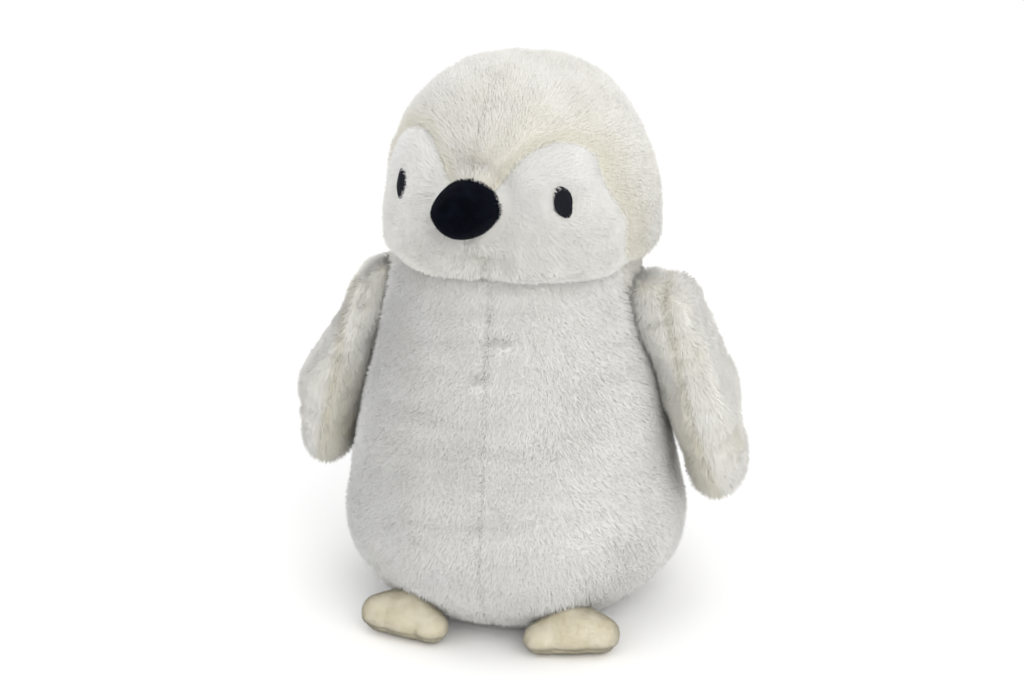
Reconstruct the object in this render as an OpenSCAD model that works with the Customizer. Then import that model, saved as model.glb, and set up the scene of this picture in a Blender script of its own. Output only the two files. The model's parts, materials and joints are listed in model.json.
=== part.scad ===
// Standing plush penguin: fur skins over fibre fill, sewn wings, feet, tail and beak.
// Millimetres. +Z is up, the toy faces -Y and its own left side is +X.
// The origin is the middle of the flat base it stands on.

/* [Torso] */
// Diameter of the belly at its widest, over the pile
belly_d = 171; // [150:1:206]
// Height of the widest part of the belly
belly_z = 54; // [46:1:64]
// Diameter of the flat base panel
base_d = 90; // [70:1:100]
// Diameter of the torso just under the head
neck_d = 120; // [108:1:132]
// Height at which the torso turns in under the head
neck_z = 184; // [178:1:192]
// How late the flank draws in: 1 is a straight cone
flank_ease = 1.1; // [1:0.05:1.6]
// Fullness of the seat under the belly: 2 is an ellipse, more is squarer
seat_fullness = 2.3; // [2:0.05:2.6]

/* [Head] */
// Diameter of the head at its widest, over the pile
head_d = 134.6; // [112:0.2:150]
// Height of the head's widest part
head_z = 200; // [192:1:215]
// From the head's widest part up to the crown
head_rise = 79.5; // [68:0.5:92]
// Fullness of the crown: 2 is an ellipse, more is squarer
head_fullness = 2.25; // [2:0.05:2.6]
// Rest turn of the head towards the toy's right
head_turn = 11; // [0:1:20]
// Sideways set of the head on the neck
head_set = 3; // [0:0.5:5]

/* [Neck] */
// Depth below the neck of the point that the head rocks about
rock_depth = 30; // [20:1:40]
// Clearance between the head's cup and the torso's dome
neck_gap = 2; // [1.6:0.1:3]

/* [Face] */
// Width of the hood that shows beside each cheek, seen from the front
cheek_inset = 8; // [3:0.2:12]
// Distance of each brow lobe from the middle
brow_x = 34; // [28:0.5:38]
// Height of the brow lobes above the head's widest part
brow_up = 32; // [24:0.5:36]
// Radius of the brow lobes
brow_r = 16; // [12:0.5:18]
// Height of the hood's peak above the head's widest part
peak_up = 14; // [8:0.5:26]
// Angle of each eye from the middle of the face
eye_angle = 40; // [32:1:48]
// Height of the eyes above the head's widest part
eye_up = 24; // [14:0.5:32]
// Width of an eye
eye_w = 9.6; // [6:0.2:12]
// Height of an eye
eye_h = 14; // [10:0.5:18]
// Depth of the eye's bed in the pile
eye_bed = 4; // [3:0.5:5]
// Thickness of the satin stitching
eye_t = 1.6; // [1:0.1:2.4]

/* [Beak] */
// Width of the beak
beak_w = 32; // [28:0.5:40]
// Height of the beak
beak_h = 27.5; // [22:0.5:32]
// Height of the beak's side seam above the head's widest part
beak_up = 21; // [12:0.5:26]
// How far the beak's tip stands proud of the face
beak_stand = 17.8; // [12:0.2:24]
// Depth of the seat that it is sewn into, under the pile's tips
beak_seat = 5.2; // [4:0.2:6]

/* [Wings] */
// Clearance between the torso and the wing's root, for the shoulder tack
shoulder_gap = 3.4; // [3:0.1:8]
// Height of the shoulder pivot
shoulder_z = 163; // [150:1:168]
// From the shoulder pivot to the wing's tip
wing_len = 102; // [84:0.2:124]
// Fore-and-aft width of the wing at its widest
wing_chord = 56; // [44:1:64]
// Thickness of the wing at its widest
wing_t = 26; // [22:0.5:30]
// Thickness of the wing at the shoulder
wing_root_t = 16; // [14:0.5:20]
// Width of the wing at the shoulder
wing_root_chord = 42; // [34:1:50]
// How far the wing bows outwards at its middle
wing_bow = 4; // [0:0.5:8]
// How far the left wing hangs out from the flank
left_flare = 3.8; // [0.6:0.2:20]
// How far the right wing hangs out from the flank
right_flare = 0.6; // [0.6:0.2:20]

/* [Feet] */
// Distance of each foot from the middle
foot_x = 41; // [38:1:46]
// Distance of the middle toe from the seat's underside at the foot's own height
toe_out = 6.8; // [6.8:0.2:12]
// Width of a foot
foot_w = 49; // [44:0.2:59]
// Height of a foot
foot_h = 18; // [15:0.5:18]
// How far each foot turns outwards
foot_turn = 15; // [12:1:24]
// From the middle toe back to the heel, where the foot is sewn on
heel_back = 17; // [14:0.5:20]

/* [Tail] */
// Width of the tail at its root
tail_w = 30; // [22:1:40]
// Length of the tail behind its pivot
tail_len = 20; // [14:1:28]
// Height of the tail's pivot
tail_z = 32; // [28:1:44]
// Thickness of the tail
tail_t = 12; // [10:0.5:16]

/* [Fabric] */
// Long pile fur with its backing, on head and torso
fur = 7.5; // [5:0.5:9]
// Long pile fur, combed flat on wings and tail
wing_fur = 5; // [3:0.5:6]
// Short pile cloth of feet and beak
velboa = 3; // [2:0.5:4]
// Clearance between the torso and a sewn-on limb
limb_gap = 2; // [1:0.1:3]
// Diameter of the sewing thread, laid double
thread_d = 1.2; // [0.8:0.1:1.4]

/* [Fill] */
// Diameter of the bag of pellets in the seat
bag_d = 96; // [70:1:104]
// Height of the bag of pellets
bag_h = 26; // [18:1:32]
// Cloth of the pellet bag
bag_cloth = 0.8; // [0.6:0.1:1.2]

/* [Hidden] */

ivory = "#e6e3d5";
white = "#eeeeea";
oat = "#e2dcc4";
navy = "#12151f";
fibre = "#f4f4f2";
cotton = "#d9d4c6";

far = 800;                              // larger than the toy, for half-space cuts
round_fn = 96;
hull_fn = 24;
steps = 12;                             // points along each stretch of a profile
belly_r = belly_d / 2;
head_r = head_d / 2;
neck_r = neck_d / 2;
base_r = base_d / 2;
base_t = velboa;

// The lower belly is part of a full ellipse that runs through the base's edge.
seat_h = belly_z / pow(1 - pow(base_r / belly_r, seat_fullness), 1 / seat_fullness);
function seat_r(z) =
    belly_r * pow(1 - pow((belly_z - z) / seat_h, seat_fullness), 1 / seat_fullness);
function flank_r(z) =
    neck_r + (belly_r - neck_r) * (1 - pow((z - belly_z) / (neck_z - belly_z), flank_ease));
function torso_r(z) = z < belly_z ? seat_r(z) : flank_r(z);

// The dome under the head runs on from the neck, and the head's cup lies over it.
rock_z = neck_z - rock_depth;
dome_r = sqrt(pow(neck_r, 2) + pow(rock_depth, 2));
cup_r = dome_r + neck_gap;
dome_start = atan2(neck_r, rock_depth);
torso_profile = concat(
    [[0, 0]],
    [for (i = [0 : steps]) [seat_r(belly_z * i / steps), belly_z * i / steps]],
    [for (i = [1 : steps - 1])
        let (z = belly_z + (neck_z - belly_z) * i / steps) [flank_r(z), z]],
    [for (i = [0 : steps])
        let (a = dome_start * (1 - i / steps)) [dome_r * sin(a), rock_z + dome_r * cos(a)]]
);

function crown_r(z) =
    head_r * pow(1 - pow(abs(z - head_z) / head_rise, head_fullness), 1 / head_fullness);
head_low = head_z - head_rise * 0.6;
head_profile = concat(
    [[0, head_low]],
    [for (i = [0 : steps]) let (z = head_low + (head_z - head_low) * i / steps) [crown_r(z), z]],
    [for (i = [1 : 2 * steps])
        let (a = 90 * i / (2 * steps), z = head_z + head_rise * sin(a)) [crown_r(z), z]]
);

// A solid of revolution, drawn in by a fabric's thickness.
module turned(profile, inset = 0) {
    rotate_extrude($fn = round_fn)
        intersection() {
            offset(delta = -inset) {
                polygon(profile);
                mirror([1, 0]) polygon(profile);
            }
            translate([0, -far / 2]) square([far / 2, far]);
        }
}

module left_half() {
    intersection() {
        children();
        translate([0, -far / 2, -far / 2]) cube(far);
    }
}

module right_half() {
    intersection() {
        children();
        translate([-far, -far / 2, -far / 2]) cube(far);
    }
}

// ---- Torso -------------------------------------------------------------

// Everything in front of the side seams, which lean back towards the base.
seam_lean = 11;
seam_top_y = -18;
module front_of_side_seam() {
    translate([0, seam_top_y, neck_z]) rotate([seam_lean, 0, 0])
        translate([-far / 2, -far, -far / 2]) cube(far);
}

module torso_skin() {
    difference() {
        turned(torso_profile);
        turned(torso_profile, fur);
        translate([0, 0, -1]) cylinder(d = base_d, h = fur + 2, $fn = round_fn);
        crown_opening();
        closing_line();
    }
}

// The torso skins stop under the head, where the fill goes through the neck.
module crown_opening() {
    translate([0, 0, rock_z]) cylinder(d1 = 0, d2 = 2 * cup_r, h = cup_r * 1.3, $fn = round_fn);
}

// The line of the hand-sewn closing in the back seam, under the pile.
closing_low = 70;
closing_high = 118;
module closing_line() {
    low_y = torso_r(closing_low) - fur / 2;
    high_y = torso_r(closing_high) - fur / 2;
    run = sqrt(pow(closing_high - closing_low, 2) + pow(low_y - high_y, 2));
    translate([0, low_y, closing_low])
        rotate([atan2(low_y - high_y, closing_high - closing_low), 0, 0])
            cylinder(d = thread_d, h = run, $fn = 24);
}

module belly_left() {
    color(white) left_half() intersection() { torso_skin(); front_of_side_seam(); }
}

module belly_right() {
    color(white) right_half() intersection() { torso_skin(); front_of_side_seam(); }
}

module back_left() {
    color(ivory) left_half() difference() { torso_skin(); front_of_side_seam(); }
}

module back_right() {
    color(ivory) right_half() difference() { torso_skin(); front_of_side_seam(); }
}

module base_panel() {
    color(oat) cylinder(d = base_d, h = base_t, $fn = round_fn);
}

module torso_stuffing() {
    color(fibre) difference() {
        union() {
            turned(torso_profile, fur);
            translate([0, 0, base_t]) cylinder(d = base_d, h = fur + 1 - base_t, $fn = round_fn);
            intersection() { turned(torso_profile); crown_opening(); }
        }
        bag_shape(0);
    }
}

// A cushion-shaped bag, bedded in fibre just over the base panel.
bag_lift = 6;
bag_edge_r = bag_h / 2 - 1;
module bag_shape(inset) {
    translate([0, 0, base_t + bag_lift + bag_h / 2])
        rotate_extrude($fn = round_fn)
            intersection() {
                offset(delta = -inset) offset(r = bag_edge_r, $fn = 32)
                    square([bag_d - 2 * bag_edge_r, bag_h - 2 * bag_edge_r], center = true);
                translate([0, -far / 2]) square([far / 2, far]);
            }
}

module pellet_bag() {
    color(cotton) difference() { bag_shape(0); bag_shape(bag_cloth); }
}

module pellets() {
    color("white") bag_shape(bag_cloth);
}

module closing_thread() {
    color(cotton) closing_line();
}

// ---- Neck --------------------------------------------------------------

// The thread that draws the neck in runs midway between the dome and the cup.
seam_r = (dome_r + cup_r) / 2;
seam_angle = dome_start + 3;
module neck_thread() {
    color(cotton) translate([0, 0, rock_z + seam_r * cos(seam_angle)])
        rotate_extrude($fn = round_fn)
            translate([seam_r * sin(seam_angle), 0]) circle(d = thread_d, $fn = 24);
}

module neck_cup() {
    translate([0, 0, rock_z]) sphere(r = cup_r, $fn = round_fn);
}

// ---- Head --------------------------------------------------------------

module on_head() {
    translate([head_set, 0, 0]) rotate([0, 0, -head_turn]) children();
}

// Cuts away what lies inside the cup that sits over the neck.
module over_neck() {
    difference() {
        on_head() children();
        neck_cup();
    }
}

// The face's outline from the front: two brow lobes, cheeks, and a notch for the hood's peak.
cheek_w = head_r - cheek_inset;
cheek_r = 18;
cheek_z = head_z + 6;
brow_z = head_z + brow_up;
peak_z = head_z + peak_up;
module face_outline() {
    for (side = [-1, 1])
        hull() {
            translate([side * brow_x, brow_z]) circle(r = brow_r, $fn = 48);
            translate([side * (cheek_w - cheek_r), cheek_z]) circle(r = cheek_r, $fn = 48);
            translate([side < 0 ? -cheek_w : 0, head_low]) square([cheek_w, 20]);
            translate([side < 0 ? -1 : 0, head_low]) square([1, peak_z - head_low]);
        }
}

module face_prism() {
    rotate([90, 0, 0]) linear_extrude(far / 2) face_outline();
}

module head_skin() {
    difference() {
        turned(head_profile);
        turned(head_profile, fur);
        beak_pocket();
        for (side = [-1, 1]) eye_at(side) eye_disc(eye_w, eye_h, 2 * eye_bed, -eye_bed);
    }
}

module hood_left() {
    color(ivory) over_neck() left_half() difference() { head_skin(); face_prism(); }
}

module hood_right() {
    color(ivory) over_neck() right_half() difference() { head_skin(); face_prism(); }
}

module face_left() {
    color(white) over_neck() left_half() intersection() { head_skin(); face_prism(); }
}

module face_right() {
    color(white) over_neck() right_half() intersection() { head_skin(); face_prism(); }
}

module head_stuffing() {
    color(fibre) over_neck() difference() {
        turned(head_profile, fur);
        for (side = [-1, 1]) eye_at(side) backing_disc(fur + 2);
    }
}

// ---- Eyes --------------------------------------------------------------

// The frame of an eye: +Z points out of the head along its surface's normal.
eye_z = head_z + eye_up;
eye_share = pow(eye_up / head_rise, head_fullness);
eye_slope = atan(head_r / eye_up * eye_share / pow(1 - eye_share, 1 - 1 / head_fullness));
module eye_at(side) {
    rotate([0, 0, side * eye_angle])
        translate([0, -crown_r(eye_z), eye_z])
            rotate([90 - eye_slope, 0, 0]) children();
}

module eye_disc(w, h, t, z) {
    translate([0, 0, z]) linear_extrude(t) hull()
        for (up = [-1, 1]) translate([0, up * (h - w) / 2]) circle(d = w, $fn = 40);
}

backing_t = 0.8;
backing_margin = 2;
backing_z = -fur - 1.8;
module backing_disc(t) {
    eye_disc(eye_w + 2 * backing_margin, eye_h + 2 * backing_margin, t, backing_z);
}

module eye(side) {
    color(navy) on_head() eye_at(side) eye_disc(eye_w, eye_h, eye_t, -eye_bed);
}

module eye_backing(side) {
    color(cotton) on_head() eye_at(side) backing_disc(backing_t);
}

module left_eye() { eye(1); }
module right_eye() { eye(-1); }
module left_eye_backing() { eye_backing(1); }
module right_eye_backing() { eye_backing(-1); }

// ---- Beak --------------------------------------------------------------

beak_z = head_z + beak_up;
beak_r = beak_h / 2;
beak_seat_y = crown_r(beak_z) - beak_seat;
beak_root_y = crown_r(beak_z);
beak_tip_y = crown_r(beak_z) + beak_stand;
beak_nose_r = 9;
module beak_outline() {
    hull() for (side = [-1, 1])
        translate([side * (beak_w - beak_h) / 2, beak_z]) circle(d = beak_h, $fn = 48);
}

// The fur is shorn away where the beak is sewn on.
module beak_pocket() {
    translate([0, -beak_seat_y, 0]) rotate([90, 0, 0]) linear_extrude(far / 4) beak_outline();
}

module beak_form(inset) {
    intersection() {
        hull() {
            for (side = [-1, 1])
                translate([side * (beak_w - beak_h) / 2, -beak_root_y, beak_z])
                    sphere(r = beak_r - inset, $fn = hull_fn);
            translate([0, beak_nose_r - beak_tip_y, beak_z])
                sphere(r = beak_nose_r - inset, $fn = hull_fn);
        }
        translate([-far / 2, -far - beak_seat_y, -far / 2]) cube([far, far, 2 * far]);
    }
}

module above(z) {
    intersection() {
        children();
        translate([-far / 2, -far / 2, z]) cube(far);
    }
}

module below(z) {
    intersection() {
        children();
        translate([-far / 2, -far / 2, z - far]) cube(far);
    }
}

module beak_skin() {
    difference() { beak_form(0); beak_form(velboa); }
}

module beak_upper() { color(navy) on_head() above(beak_z) beak_skin(); }
module beak_lower() { color(navy) on_head() below(beak_z) beak_skin(); }
module beak_stuffing() { color(fibre) on_head() beak_form(velboa); }

// ---- Wings -------------------------------------------------------------

wing_root_r = wing_root_t / 2;
wing_r = wing_t / 2;
wing_tip_r = wing_r - 1;
wing_run = wing_len - wing_tip_r;

// The shoulder clears both the torso and the side of the head above it.
root_over_head = sqrt(pow(wing_root_r + limb_gap, 2) - pow(wing_root_r, 2));
shoulder_x = max(
    flank_r(shoulder_z) + shoulder_gap + wing_root_r,
    crown_r(shoulder_z + wing_root_r) + head_set + root_over_head
);

// The lean at which the wing's inner side just clears the flank.
function wing_inner(drop) = wing_root_r + (wing_tip_r - wing_root_r) * drop / wing_run;
wing_lean = max([for (i = [3 : steps])
    let (drop = wing_run * i / steps, z = max(belly_z, shoulder_z - drop))
        atan((flank_r(z) + limb_gap + wing_inner(drop) - shoulder_x) / drop)]);

// A wing hangs down from its shoulder, and bows outwards, which is +X here.
wing_bow_at = 0.55;
tip_narrowing = 7;
module wing_form(inset) {
    hull() for (front = [-1, 1]) {
        translate([0, front * (wing_root_chord / 2 - wing_root_r), 0])
            sphere(r = wing_root_r - inset, $fn = hull_fn);
        translate([wing_bow, front * (wing_chord / 2 - wing_r), -wing_len * wing_bow_at])
            sphere(r = wing_r - inset, $fn = hull_fn);
        translate([0, front * (wing_chord / 2 - wing_tip_r - tip_narrowing), -wing_run])
            sphere(r = wing_tip_r - inset, $fn = hull_fn);
    }
}

module left_wing_at() {
    translate([shoulder_x, 0, shoulder_z]) rotate([0, -wing_lean - left_flare, 0]) children();
}

module right_wing_at() {
    mirror([1, 0, 0]) translate([shoulder_x, 0, shoulder_z])
        rotate([0, -wing_lean - right_flare, 0]) children();
}

module wing_skin() {
    difference() { wing_form(0); wing_form(wing_fur); }
}

// A tack of thread joins the wing's root to the torso.
tack_d = 8;
module shoulder_tack() {
    tack_in = flank_r(shoulder_z - tack_d / 2) + 0.4;
    tack_out = shoulder_x - wing_root_r - 0.4;
    translate([tack_in, 0, shoulder_z]) rotate([0, 90, 0])
        cylinder(d = tack_d, h = tack_out - tack_in, $fn = 32);
}

module left_wing_outer() { color(ivory) left_wing_at() left_half() wing_skin(); }
module left_wing_inner() { color(ivory) left_wing_at() right_half() wing_skin(); }
module left_wing_stuffing() { color(fibre) left_wing_at() wing_form(wing_fur); }
module left_shoulder_tack() { color(cotton) shoulder_tack(); }
module right_wing_outer() { color(ivory) right_wing_at() left_half() wing_skin(); }
module right_wing_inner() { color(ivory) right_wing_at() right_half() wing_skin(); }
module right_wing_stuffing() { color(fibre) right_wing_at() wing_form(wing_fur); }
module right_shoulder_tack() { color(cotton) mirror([1, 0, 0]) shoulder_tack(); }

// ---- Feet --------------------------------------------------------------

toe_r = foot_h / 2;
inner_toe_r = toe_r - 1.5;
heel_r = 4;
toe_step = foot_w / 2 - toe_r;
toe_y = -sqrt(pow(seat_r(foot_h) + toe_out, 2) - pow(foot_x, 2));
hinge_y = toe_y + heel_back;
hinge_z = heel_r - 0.5;
module foot_solid(inset) {
    hull() {
        translate([foot_x, toe_y, 0]) rotate([0, 0, foot_turn]) {
            translate([-toe_step, 0, inner_toe_r - 0.2])
                sphere(r = inner_toe_r - inset, $fn = hull_fn);
            for (toe = [0, 1])
                translate([toe * toe_step, 0, toe_r - 0.2])
                    sphere(r = toe_r - inset, $fn = hull_fn);
        }
        translate([foot_x, hinge_y, hinge_z]) sphere(r = heel_r - inset, $fn = hull_fn);
    }
}

module left_foot_top() {
    color(oat) above(velboa) difference() { foot_solid(0); foot_solid(velboa); }
}

module left_foot_sole() {
    color(oat) below(velboa) above(0) foot_solid(0);
}

module left_foot_stuffing() {
    color(fibre) above(velboa) foot_solid(velboa);
}

module right_foot_top() { mirror([1, 0, 0]) left_foot_top(); }
module right_foot_sole() { mirror([1, 0, 0]) left_foot_sole(); }
module right_foot_stuffing() { mirror([1, 0, 0]) left_foot_stuffing(); }

// ---- Tail --------------------------------------------------------------

tail_r = tail_t / 2;
tail_tip_r = tail_r - 1;
tail_fur = min(wing_fur, tail_r - 2);
tail_pivot_y = torso_r(tail_z) + limb_gap + tail_r;
module tail_form(inset) {
    translate([0, tail_pivot_y, tail_z]) hull() {
        for (side = [-1, 1])
            translate([side * (tail_w / 2 - tail_r), 0, 0])
                sphere(r = tail_r - inset, $fn = hull_fn);
        translate([0, tail_len - tail_tip_r, -3]) sphere(r = tail_tip_r - inset, $fn = hull_fn);
    }
}

module tail_skin() {
    difference() { tail_form(0); tail_form(tail_fur); }
}

module tail_top() { color(ivory) above(tail_z) tail_skin(); }
module tail_under() { color(ivory) below(tail_z) tail_skin(); }
module tail_stuffing() { color(fibre) tail_form(tail_fur); }

belly_left();
belly_right();
back_left();
back_right();
base_panel();
torso_stuffing();
pellet_bag();
pellets();
closing_thread();
neck_thread();
hood_left();
hood_right();
face_left();
face_right();
head_stuffing();
beak_upper();
beak_lower();
beak_stuffing();
left_eye();
right_eye();
left_eye_backing();
right_eye_backing();
left_wing_outer();
left_wing_inner();
left_wing_stuffing();
left_shoulder_tack();
right_wing_outer();
right_wing_inner();
right_wing_stuffing();
right_shoulder_tack();
left_foot_top();
left_foot_sole();
left_foot_stuffing();
right_foot_top();
right_foot_sole();
right_foot_stuffing();
tail_top();
tail_under();
tail_stuffing();
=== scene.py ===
"""A standing plush penguin: combed fur panels over fibre fill, with sewn wings, feet, tail and beak."""
import json
import math

import bmesh
import bpy
import numpy as np
from mathutils import Matrix, Vector
from mathutils.geometry import convex_hull_2d


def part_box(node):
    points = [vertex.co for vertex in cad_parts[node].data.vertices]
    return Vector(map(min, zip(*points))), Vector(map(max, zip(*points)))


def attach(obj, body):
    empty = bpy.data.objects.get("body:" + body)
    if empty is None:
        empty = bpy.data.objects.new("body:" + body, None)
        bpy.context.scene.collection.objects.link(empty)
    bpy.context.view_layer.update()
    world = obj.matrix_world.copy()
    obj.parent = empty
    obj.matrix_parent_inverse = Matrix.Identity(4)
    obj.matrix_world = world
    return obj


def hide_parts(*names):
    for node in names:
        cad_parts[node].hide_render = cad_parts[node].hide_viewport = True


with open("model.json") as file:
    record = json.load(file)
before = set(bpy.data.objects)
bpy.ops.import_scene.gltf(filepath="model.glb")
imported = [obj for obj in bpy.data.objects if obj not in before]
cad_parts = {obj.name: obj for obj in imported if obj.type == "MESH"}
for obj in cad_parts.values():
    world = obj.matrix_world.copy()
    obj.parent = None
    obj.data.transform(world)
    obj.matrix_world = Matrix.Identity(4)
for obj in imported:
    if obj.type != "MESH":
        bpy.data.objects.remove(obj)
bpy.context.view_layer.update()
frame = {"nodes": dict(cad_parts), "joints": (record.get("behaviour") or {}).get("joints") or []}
scene = bpy.context.scene

# Shapes are worked out in millimetres and turned to metres when a mesh is made.
MM = 0.001

# ---- Sizes read from the frame -------------------------------------------

belly_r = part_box("belly_left")[1].x / MM
base_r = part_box("base_panel")[1].x / MM
base_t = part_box("base_panel")[1].z / MM
hood_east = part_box("hood_left")[1].x / MM
hood_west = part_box("hood_right")[0].x / MM
crown_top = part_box("hood_left")[1].z / MM
head_r = (hood_east - hood_west) / 2
head_x = (hood_east + hood_west) / 2
pivots = {j["child"]: Vector(j["pos_m"]) / MM for j in frame["joints"]}

# ---- Sizes of the design --------------------------------------------------

belly_z = 54
neck_r = 60
neck_z = 184
seat_fullness = 2.3
flank_ease = 1.1
seat_h = belly_z / (1 - (base_r / belly_r) ** seat_fullness) ** (1 / seat_fullness)
rock_z = pivots["neck"].z
dome_r = math.hypot(neck_r, neck_z - rock_z)
side_seam_lean = math.radians(11)
side_seam_top_y = -18

head_z = 200
head_rise = crown_top - head_z
head_fullness = 2.25
head_turn = math.radians(11)
cup_r = dome_r + 2
brow_x, brow_z, brow_r = 34, 232, 16
cheek_x, cheek_z, cheek_r = 41.3, 206, 18
face_half_w = 59.3
peak_z = 214
beak_z = 221
eye_angle = math.radians(40)
eye_z = 224
eye_w, eye_h = 9.6, 14

wing_hang = {"left": math.radians(16.66), "right": math.radians(13.46)}
wing_flatness = {"left": 0.0, "right": 0.38}
wing_stretch = {"left": 1.0, "right": 0.97}
foot_turn = math.radians(15)
toe_step = 15.5


# ---- Small tools ----------------------------------------------------------

def near(distance, width):
    """1 where distance is 0, falling softly to 0 past about twice the width."""
    return np.exp(-((distance / width) ** 2))


def ramp(value, low, high):
    """0 below low and 1 above high, with a soft step between."""
    t = np.clip((value - low) / (high - low), 0, 1)
    return t * t * (3 - 2 * t)


def unit(vectors):
    """Each row scaled to length 1."""
    return vectors / np.maximum(np.linalg.norm(vectors, axis=1, keepdims=True), 1e-9)


def lumps(points, size, seed):
    """Smooth random lumps from -1 to 1, about size millimetres apart in X, Y and Z."""
    rng = np.random.default_rng(seed)
    total = np.zeros(len(points))
    waves = 9
    for _ in range(waves):
        direction = unit(rng.normal(size=(1, 3)))[0] / np.asarray(size, float)
        total += np.sin(points @ direction * 2 * math.pi + rng.uniform(0, 2 * math.pi))
    return total / math.sqrt(waves)


def mesh_from(bm, name):
    """The bmesh, in millimetres, as a mesh in metres. The bmesh is used up."""
    bmesh.ops.scale(bm, vec=(MM, MM, MM), verts=bm.verts)
    mesh = bpy.data.meshes.new(name)
    bm.to_mesh(mesh)
    bm.free()
    return mesh


def positions(mesh):
    """The mesh's points in millimetres."""
    co = np.empty(len(mesh.vertices) * 3, np.float32)
    mesh.vertices.foreach_get("co", co)
    return co.reshape(-1, 3).astype(float) / MM


def put_positions(mesh, points):
    mesh.vertices.foreach_set("co", (points * MM).astype(np.float32).ravel())
    mesh.update()


def normals_of(mesh):
    normal = np.empty(len(mesh.vertices) * 3, np.float32)
    mesh.vertices.foreach_get("normal", normal)
    return normal.reshape(-1, 3).astype(float)


def new_object(name, mesh):
    made = bpy.data.objects.new(name, mesh)
    scene.collection.objects.link(made)
    return made


def evaluated_mesh(holder):
    """The object's mesh with its modifiers applied, as a new mesh."""
    graph = bpy.context.evaluated_depsgraph_get()
    return bpy.data.meshes.new_from_object(holder.evaluated_get(graph))


def smooth_shading(mesh):
    mesh.shade_smooth()
    return mesh


# ---- Surfaces -------------------------------------------------------------

def torso_radius(z):
    seat = 1 - (np.clip(belly_z - z, 0, None) / seat_h) ** seat_fullness
    flank = 1 - (np.clip((z - belly_z) / (neck_z - belly_z), 0, 1)) ** flank_ease
    low = belly_r * np.clip(seat, 0, 1) ** (1 / seat_fullness)
    high = neck_r + (belly_r - neck_r) * flank
    return np.where(z < belly_z, low, high)


def crown_radius(z):
    share = np.clip(np.abs(z - head_z) / head_rise, 0, 1)
    return head_r * (1 - share ** head_fullness) ** (1 / head_fullness)


def evenly(points, count):
    """The polyline's points, respaced evenly along it."""
    points = np.asarray(points, float)
    run = np.concatenate([[0], np.cumsum(np.linalg.norm(np.diff(points, axis=0), axis=1))])
    at = np.linspace(0, run[-1], count)
    return np.column_stack([np.interp(at, run, points[:, 0]), np.interp(at, run, points[:, 1])])


def drawn_in(profile, depth):
    """The profile, moved inwards by depth along its own normals."""
    run = np.gradient(profile, axis=0)
    run /= np.linalg.norm(run, axis=1, keepdims=True)
    return profile + depth * np.column_stack([-run[:, 1], run[:, 0]])


def turned(profile, around):
    """A surface of revolution about Z as a bmesh. It closes to a pole where the profile meets the axis."""
    bm = bmesh.new()
    rings = []
    for r, z in profile:
        if r < 0.4:
            rings.append([bm.verts.new((0, 0, z))])
            continue
        ring = []
        for i in range(around):
            a = 2 * math.pi * (i + 0.5) / around
            ring.append(bm.verts.new((r * math.cos(a), r * math.sin(a), z)))
        rings.append(ring)
    for low, high in zip(rings, rings[1:]):
        for i in range(around):
            j = (i + 1) % around
            if len(low) == 1:
                bm.faces.new((low[0], high[j], high[i]))
            elif len(high) == 1:
                bm.faces.new((low[i], low[j], high[0]))
            else:
                bm.faces.new((low[i], low[j], high[j], high[i]))
    return bm


def cut_at_zero(bm, field):
    """Splits edges and faces where the field changes sign, so that a panel's edge follows its seam."""
    bm.verts.ensure_lookup_table()
    points = np.array([v.co for v in bm.verts])
    value = dict(zip(bm.verts, field(points)))
    on_seam = set()
    for edge in list(bm.edges):
        a, b = edge.verts
        fa, fb = value[a], value[b]
        if fa * fb < 0:
            _, made = bmesh.utils.edge_split(edge, a, fa / (fa - fb))
            on_seam.add(made)
            value[made] = 0.0
    for face in list(bm.faces):
        crossing = [v for v in face.verts if v in on_seam]
        if len(crossing) == 2:
            try:
                bmesh.utils.face_split(face, crossing[0], crossing[1])
            except ValueError:
                pass


def part_where(bm, test):
    """A copy of the sheet with only the faces whose centres pass the test, as a mesh in metres."""
    copy = bm.copy()
    centres = np.array([f.calc_center_median() for f in copy.faces])
    keep = test(centres)
    doomed = [f for f, kept in zip(copy.faces, keep) if not kept]
    bmesh.ops.delete(copy, geom=doomed, context="FACES")
    return mesh_from(copy, "sheet")


def move_along_normals(bm, relief):
    """Raises or sinks each point of the sheet by relief, in millimetres, along its normal."""
    bm.normal_update()
    points = np.array([v.co for v in bm.verts])
    normals = np.array([v.normal for v in bm.verts])
    moved = points + normals * relief(points)[:, None]
    for vert, place in zip(bm.verts, moved):
        vert.co = place
    bm.normal_update()


# ---- Node helper ----------------------------------------------------------

def linear(hex_code):
    """An sRGB hex colour as linear RGBA."""
    channels = [int(hex_code[i:i + 2], 16) / 255 for i in (1, 3, 5)]
    return (*[c / 12.92 if c <= 0.04045 else ((c + 0.055) / 1.055) ** 2.4 for c in channels], 1)


def add(tree, kind, inputs=None, **settings):
    """Adds a node with its settings. An input that is a socket is linked, and any other is a value."""
    node = tree.nodes.new(kind)
    for key, value in settings.items():
        setattr(node, key, value)
    for key, value in (inputs or {}).items():
        if isinstance(value, bpy.types.NodeSocket):
            tree.links.new(value, node.inputs[key])
        else:
            node.inputs[key].default_value = value
    return node


def material(name, shader_inputs):
    """A material with a Principled shader, and its tree, object coordinates and shader."""
    made = bpy.data.materials.new(name)
    made.use_nodes = True
    tree = made.node_tree
    tree.nodes.clear()
    shader = add(tree, "ShaderNodeBsdfPrincipled", shader_inputs)
    add(tree, "ShaderNodeOutputMaterial", {"Surface": shader.outputs["BSDF"]})
    place = add(tree, "ShaderNodeTexCoord").outputs["Object"]
    return made, tree, place, shader


def blended(tree, share, first, second):
    """A colour mixed between two, each a hex code or a socket."""
    ends = [linear(c) if isinstance(c, str) else c for c in (first, second)]
    mix = add(tree, "ShaderNodeMix", {0: share, 6: ends[0], 7: ends[1]}, data_type="RGBA")
    return mix.outputs[2]


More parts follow.
